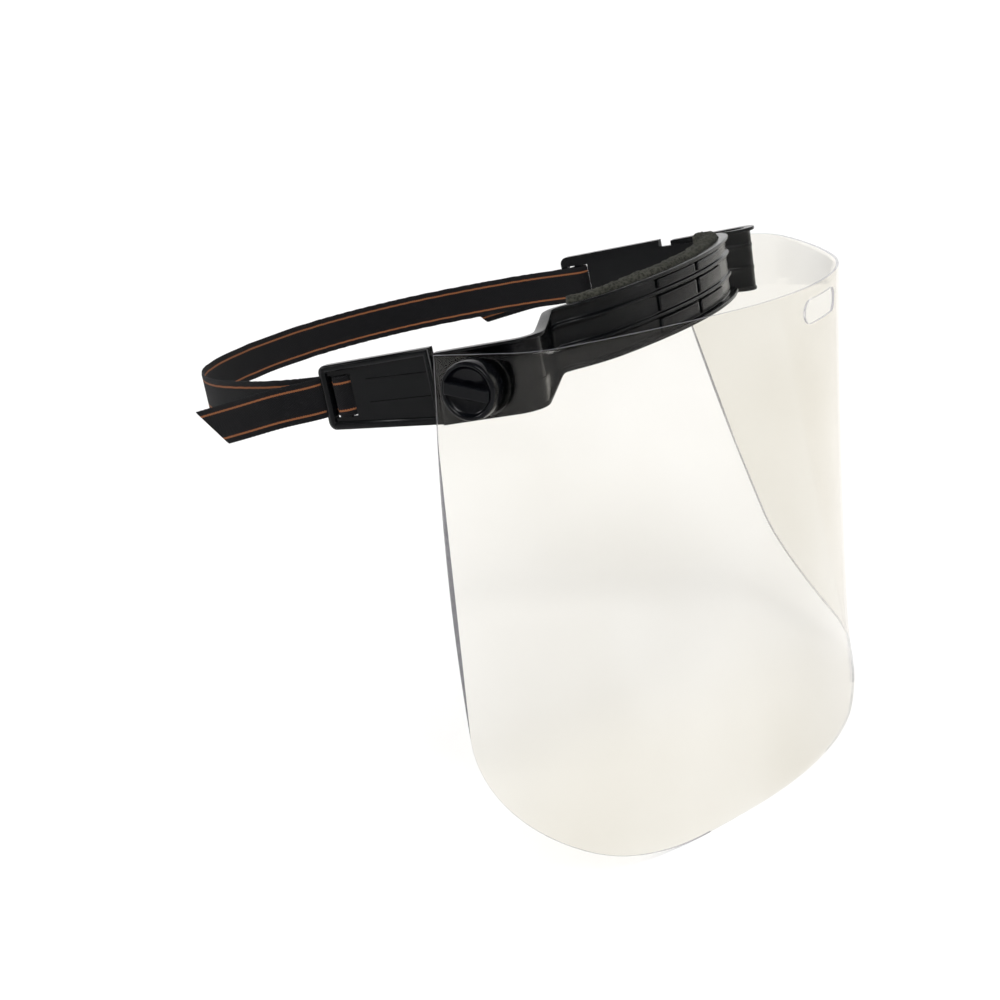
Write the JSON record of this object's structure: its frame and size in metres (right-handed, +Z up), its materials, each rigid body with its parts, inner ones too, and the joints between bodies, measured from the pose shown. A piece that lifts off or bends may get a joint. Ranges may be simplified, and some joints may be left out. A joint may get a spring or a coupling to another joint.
{
  "type": "face shield",
  "caption": "Clear curved visor hung from a padded brow band by side knobs, with rear arms and a woven head strap; it swings up for access and guards the face.",
  "frame": {"origin": "middle of the bounding box in X and Y, at the lowest point of the visor", "axes": "the wearer looks along -Y, +X is the wearer's left, +Z is up; the pivot axis runs along X"},
  "size_m": [0.2818, 0.2594, 0.1991],
  "materials": {
    "band_plastic": "gloss moulded black",
    "knob_plastic": "gloss moulded black",
    "foam": "open-cell foam, matte dark grey-brown",
    "clear_sheet": "clear polished sheet",
    "webbing": "woven black elastic with two thin orange-brown stripes",
    "hardware": "zinc-bright turned steel",
    "washer_nylon": "satin black nylon"
  },
  "bodies": {
    "band": {"brow_band": "band_plastic", "sweatband_foam": "foam", "pivot_bolt_right": "hardware", "pivot_bolt_left": "hardware", "head_washer_right": "hardware", "head_washer_left": "hardware", "arm_washer_right": "washer_nylon", "arm_washer_left": "washer_nylon", "spacer_disc_right": "band_plastic", "spacer_disc_left": "band_plastic"},
    "visor": {"visor": "clear_sheet", "friction_washer_right": "washer_nylon", "friction_washer_left": "washer_nylon"},
    "knob_right": {"knob_right": "knob_plastic", "knob_insert_right": "hardware"},
    "knob_left": {"knob_left": "knob_plastic", "knob_insert_left": "hardware"},
    "harness": {"arm_right": "band_plastic", "arm_left": "band_plastic", "rear_strap": "webbing"}
  },
  "joints": [
    {"name": "visor_lift", "type": "hinge", "parent": "band", "child": "visor", "pos_m": [0, -0.04277, 0.176], "axis": [-1, 0, 0], "range_deg": [0, 75]},
    {"name": "knob_right_turn", "type": "hinge", "parent": "band", "child": "knob_right", "pos_m": [-0.1099, -0.04277, 0.176], "axis": [-1, 0, 0], "range_deg": [0, 180]},
    {"name": "knob_left_turn", "type": "hinge", "parent": "band", "child": "knob_left", "pos_m": [0.1099, -0.04277, 0.176], "axis": [1, 0, 0], "range_deg": [0, 180]},
    {"name": "harness_tilt", "type": "hinge", "parent": "band", "child": "harness", "pos_m": [0, -0.04277, 0.176], "axis": [-1, 0, 0], "range_deg": [-20, 20]}
  ]
}
